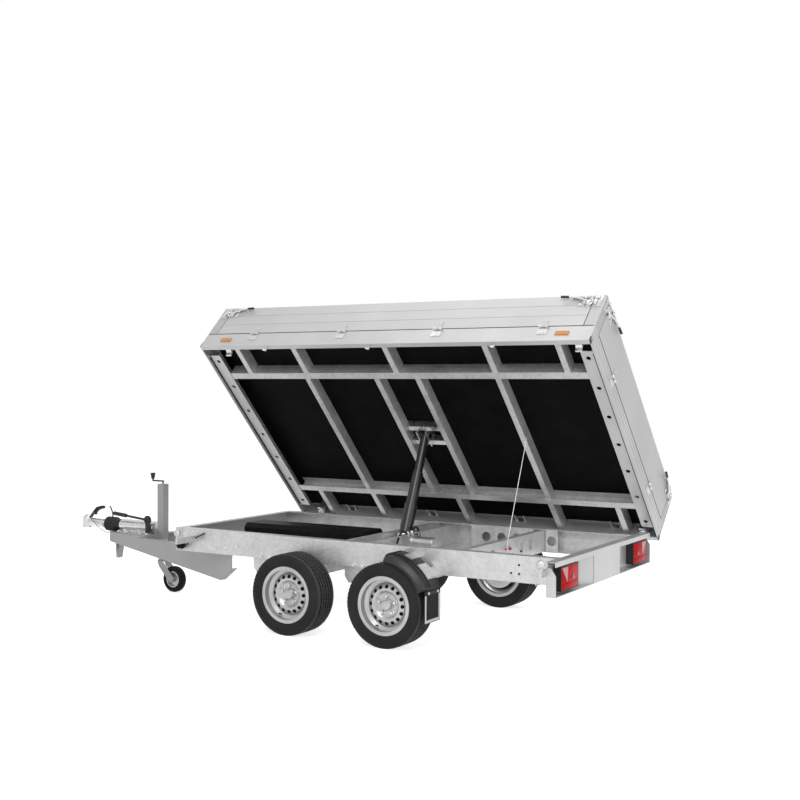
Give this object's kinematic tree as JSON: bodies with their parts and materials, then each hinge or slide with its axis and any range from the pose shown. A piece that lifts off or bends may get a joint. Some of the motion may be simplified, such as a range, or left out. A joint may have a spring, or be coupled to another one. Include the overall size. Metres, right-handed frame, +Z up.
{
  "type": "three-way tipper trailer",
  "caption": "Tandem-axle trailer with a galvanised ladder chassis, V drawbar, jockey wheel and a drop-side bed tipped sideways by a telescopic ram.",
  "frame": {"origin": "centre of the tow ball in the coupling head's socket", "axes": "+X forward along the drawbar, +Y to the trailer's left side, +Z up"},
  "size_m": [4.544, 2.0942, 2.1659],
  "materials": {
    "galvanised_steel": "galvanised, satin with a soft spangle",
    "board_aluminium": "matt anodised",
    "wheel_silver": "silver wheel paint",
    "tyre_rubber": "matt",
    "black_rubber": "matt",
    "black_plastic": "fine grained",
    "floor_board": "phenolic film on plywood",
    "ram_black": "semi-gloss black",
    "pump_metal": "cast and machined",
    "lens_red": "clear moulded lens",
    "reflector_amber": "prism reflector"
  },
  "bodies": {
    "chassis": {"chassis_rails": "galvanised_steel", "rail_gussets": "galvanised_steel", "chassis_crossmembers": "galvanised_steel", "ram_crossmembers": "galvanised_steel", "rear_beam": "galvanised_steel", "front_beam": "galvanised_steel", "drawbar": "galvanised_steel", "overrun_housing": "galvanised_steel", "coupling_head": "galvanised_steel", "front_foot": "galvanised_steel", "jockey_post": "galvanised_steel", "axles": "galvanised_steel", "axle_brackets": "galvanised_steel", "fender_brackets": "galvanised_steel", "pivot_outriggers": "galvanised_steel", "bellows": "black_rubber", "mudflaps": "black_rubber", "coupling_handle": "black_plastic", "brake_lever": "black_plastic", "jockey_crank": "black_plastic", "fenders": "black_plastic", "storage_box": "black_plastic", "lamp_housings": "black_plastic", "pump": "pump_metal", "lamp_lenses": "lens_red"},
    "bed": {"bed_floor": "floor_board", "bed_beams": "galvanised_steel", "bed_crossmembers": "galvanised_steel", "bed_side_profiles": "galvanised_steel", "bed_end_profiles": "galvanised_steel", "ram_bracket": "galvanised_steel", "pivot_claws": "galvanised_steel", "corner_posts": "board_aluminium", "headboard": "board_aluminium", "side_reflectors": "reflector_amber", "hinge_leaves": "galvanised_steel"},
    "left_board": {"board_left": "board_aluminium"},
    "right_board": {"board_right": "board_aluminium"},
    "tail_board": {"tailgate": "board_aluminium"},
    "jockey_leg": {"jockey_leg": "galvanised_steel"},
    "jockey_castor": {"jockey_fork": "galvanised_steel"},
    "jockey_wheel": {"jockey_rim": "wheel_silver", "jockey_tyre": "tyre_rubber"},
    "ram_barrel": {"ram_barrel": "ram_black"},
    "ram_stage_1": {"ram_stage_1": "ram_black"},
    "ram_stage_2": {"ram_stage_2": "ram_black"},
    "ram_stage_3": {"ram_stage_3": "ram_black"},
    "wheel_front_left": {"tyre_front_left": "tyre_rubber", "wheel_front_left": "wheel_silver"},
    "wheel_front_right": {"tyre_front_right": "tyre_rubber", "wheel_front_right": "wheel_silver"},
    "wheel_rear_left": {"tyre_rear_left": "tyre_rubber", "wheel_rear_left": "wheel_silver"},
    "wheel_rear_right": {"tyre_rear_right": "tyre_rubber", "wheel_rear_right": "wheel_silver"}
  },
  "joints": [
    {"name": "wheel_front_left_spin", "type": "hinge", "parent": "chassis", "child": "wheel_front_left", "pos_m": [-2.616, 0.795, -0.2125], "axis": [0, 1, 0], "continuous": true},
    {"name": "wheel_front_right_spin", "type": "hinge", "parent": "chassis", "child": "wheel_front_right", "pos_m": [-2.616, -0.795, -0.2125], "axis": [0, 1, 0], "continuous": true},
    {"name": "wheel_rear_left_spin", "type": "hinge", "parent": "chassis", "child": "wheel_rear_left", "pos_m": [-3.349, 0.795, -0.2125], "axis": [0, 1, 0], "continuous": true},
    {"name": "wheel_rear_right_spin", "type": "hinge", "parent": "chassis", "child": "wheel_rear_right", "pos_m": [-3.349, -0.795, -0.2125], "axis": [0, 1, 0], "continuous": true},
    {"name": "bed_tip", "type": "hinge", "parent": "chassis", "child": "bed", "pos_m": [-3.045, -0.865, 0.123], "axis": [1, 0, 0], "range_deg": [-45.8, 0]},
    {"name": "left_board_drop", "type": "hinge", "parent": "bed", "child": "left_board", "pos_m": [-2.997, 0.31377, 1.49724], "axis": [1, 0, 0], "range_deg": [-175, 0]},
    {"name": "right_board_drop", "type": "hinge", "parent": "bed", "child": "right_board", "pos_m": [-2.997, -0.99969, 0.14658], "axis": [-1, 0, 0], "range_deg": [-130, 0]},
    {"name": "tailgate_drop", "type": "hinge", "parent": "bed", "child": "tail_board", "pos_m": [-4.493, -0.34296, 0.82191], "axis": [0, 0.6972, 0.7169], "range_deg": [-175, 0]},
    {"name": "jockey_lift", "type": "slide", "parent": "chassis", "child": "jockey_leg", "axis": [0, 0, 1], "range_m": [0, 0.15]},
    {"name": "jockey_swivel", "type": "hinge", "parent": "jockey_leg", "child": "jockey_castor", "pos_m": [-0.803, 0, -0.235], "axis": [0, 0, 1], "continuous": true},
    {"name": "jockey_spin", "type": "hinge", "parent": "jockey_castor", "child": "jockey_wheel", "pos_m": [-0.923, 0, -0.375], "axis": [0, 1, 0], "continuous": true},
    {"name": "ram_swing", "type": "hinge", "parent": "chassis", "child": "ram_barrel", "pos_m": [-2.983, 0, 0.085], "axis": [1, 0, 0], "range_deg": [-23.03, 0]},
    {"name": "ram_slide_1", "type": "slide", "parent": "ram_barrel", "child": "ram_stage_1", "axis": [0, -0.391, 0.9204], "range_m": [-0.2223, 0]},
    {"name": "ram_slide_2", "type": "slide", "parent": "ram_stage_1", "child": "ram_stage_2", "axis": [0, -0.391, 0.9204], "range_m": [-0.2223, 0]},
    {"name": "ram_slide_3", "type": "slide", "parent": "ram_stage_2", "child": "ram_stage_3", "axis": [0, -0.391, 0.9204], "range_m": [-0.2223, 0]}
  ],
  "couplings": [
    {"joint": "ram_swing", "follows": "bed_tip", "ratio": 0.50261},
    {"joint": "ram_slide_1", "follows": "bed_tip", "m_per_rad": 0.27809},
    {"joint": "ram_slide_2", "follows": "bed_tip", "m_per_rad": 0.27809},
    {"joint": "ram_slide_3", "follows": "bed_tip", "m_per_rad": 0.27809}
  ]
}
